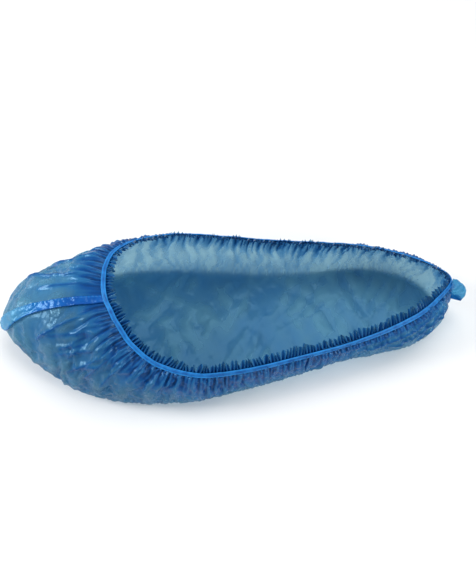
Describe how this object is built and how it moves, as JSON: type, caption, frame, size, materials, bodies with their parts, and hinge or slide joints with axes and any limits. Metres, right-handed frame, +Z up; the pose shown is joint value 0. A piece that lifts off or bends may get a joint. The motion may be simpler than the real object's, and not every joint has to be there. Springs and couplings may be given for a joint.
{
  "type": "shoe cover",
  "caption": "Disposable shoe cover of thin blue translucent film: a bag for a shoe, gathered by an elastic band round its mouth, with a ruffled edge and welded toe and heel seams.",
  "frame": {"origin": "on the floor, under the middle of the whole cover", "axes": "+Z up; the toe points along -Y and the heel along +Y; +X is the outer side of the left foot that it is shaped to"},
  "size_m": [0.1056, 0.312, 0.0554],
  "materials": {
    "film": "translucent crinkled film",
    "gathered_film": "translucent film in many layers",
    "elastic": "satin, ribbed",
    "doubled_film": "translucent film in two layers"
  },
  "bodies": {
    "root": {"film_bag": "film", "hem_ruffle": "gathered_film", "elastic_band": "elastic", "toe_seam_flap": "doubled_film", "heel_seam_fin": "doubled_film"}
  },
  "joints": []
}
